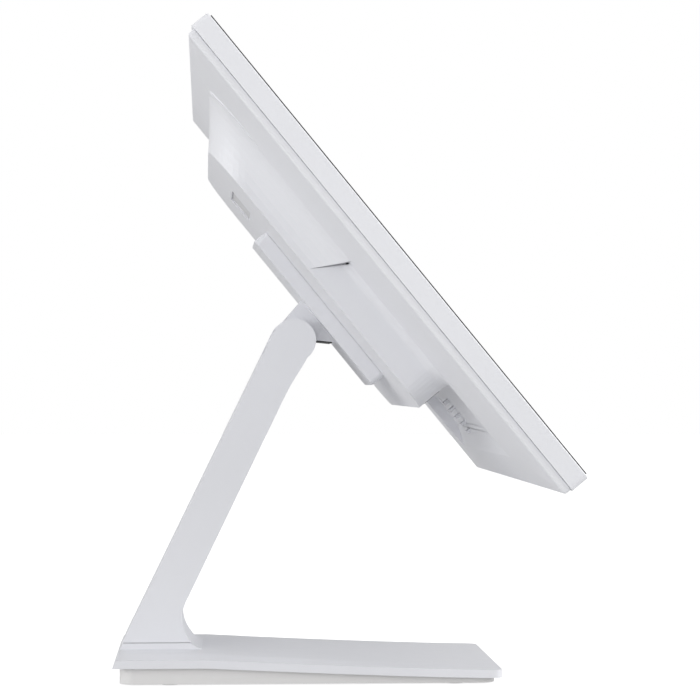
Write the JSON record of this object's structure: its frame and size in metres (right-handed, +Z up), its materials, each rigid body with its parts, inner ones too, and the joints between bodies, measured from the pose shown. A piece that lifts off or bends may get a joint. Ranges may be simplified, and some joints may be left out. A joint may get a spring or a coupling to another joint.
{
  "type": "pos touchscreen terminal",
  "caption": "All-in-one touchscreen checkout terminal: flat white display head with a rear electronics housing, tilting on a leaning arm over a slim weighted base.",
  "frame": {"origin": "middle of the footprint's bounding box, on the surface that the rubber feet stand on", "axes": "+Z up, +X to the operator's right, the operator stands at -Y and the screen faces -Y and up"},
  "size_m": [0.365, 0.2298, 0.3327],
  "materials": {
    "white_abs": "fine satin texture",
    "white_paint": "satin powder coat",
    "grey_abs": "satin",
    "warm_abs": "fine satin texture",
    "black_glass": "polished, black-printed",
    "gasket_foam": "closed-cell foam",
    "panel_dark": "satin",
    "steel": "zinc-plated sheet",
    "zinc": "bright zinc",
    "aluminium": "extruded, plain",
    "board": "solder mask",
    "black_plastic": "satin",
    "connector_shell": "nickel plated",
    "rubber": "matt"
  },
  "bodies": {
    "stand": {"arm_core": "steel", "arm_shell_left": "white_abs", "arm_shell_right": "white_abs", "base_plate": "white_paint", "base_pan": "warm_abs", "base_weight": "steel", "hinge_shaft": "steel", "hinge_nut": "zinc", "friction_washer_left": "steel", "friction_washer_right": "steel", "arm_screw_1": "zinc", "arm_screw_2": "zinc", "arm_screw_3": "zinc", "arm_screw_4": "zinc", "base_screw_1": "zinc", "base_screw_2": "zinc", "base_screw_3": "zinc", "base_screw_4": "zinc", "rubber_foot_1": "rubber", "rubber_foot_2": "rubber", "rubber_foot_3": "rubber", "rubber_foot_4": "rubber"},
    "head": {"rear_cover": "white_abs", "front_bezel": "white_abs", "hinge_bracket": "white_paint", "accessory_cover": "grey_abs", "touch_glass": "black_glass", "glass_gasket": "gasket_foam", "lcd_panel": "panel_dark", "chassis_plate": "steel", "hinge_backplate": "steel", "io_bracket": "zinc", "button_spring": "zinc", "hinge_screw_1": "zinc", "hinge_screw_2": "zinc", "hinge_screw_3": "zinc", "hinge_screw_4": "zinc", "case_screw_1": "zinc", "case_screw_2": "zinc", "case_screw_3": "zinc", "case_screw_4": "zinc", "heat_sink": "aluminium", "storage_drive": "aluminium", "main_board": "board", "cable_grommet": "black_plastic", "speaker_left": "black_plastic", "speaker_right": "black_plastic", "dc_inlet": "black_plastic", "power_switch": "black_plastic", "hdmi_port": "connector_shell", "lan_port": "connector_shell", "usb_port_left": "connector_shell", "usb_port_right": "connector_shell", "serial_port_left": "connector_shell", "serial_port_right": "connector_shell"},
    "power_button": {"power_button": "white_abs"}
  },
  "joints": [
    {"name": "head_tilt", "type": "hinge", "parent": "stand", "child": "head", "pos_m": [0, 0.01892, 0.1809], "axis": [1, 0, 0], "range_deg": [-40.5, 29.5]},
    {"name": "power_button_press", "type": "slide", "parent": "head", "child": "power_button", "axis": [0, 0.6361, 0.7716], "range_m": [0, 0.0008], "stiffness_N_per_m": 3000}
  ]
}
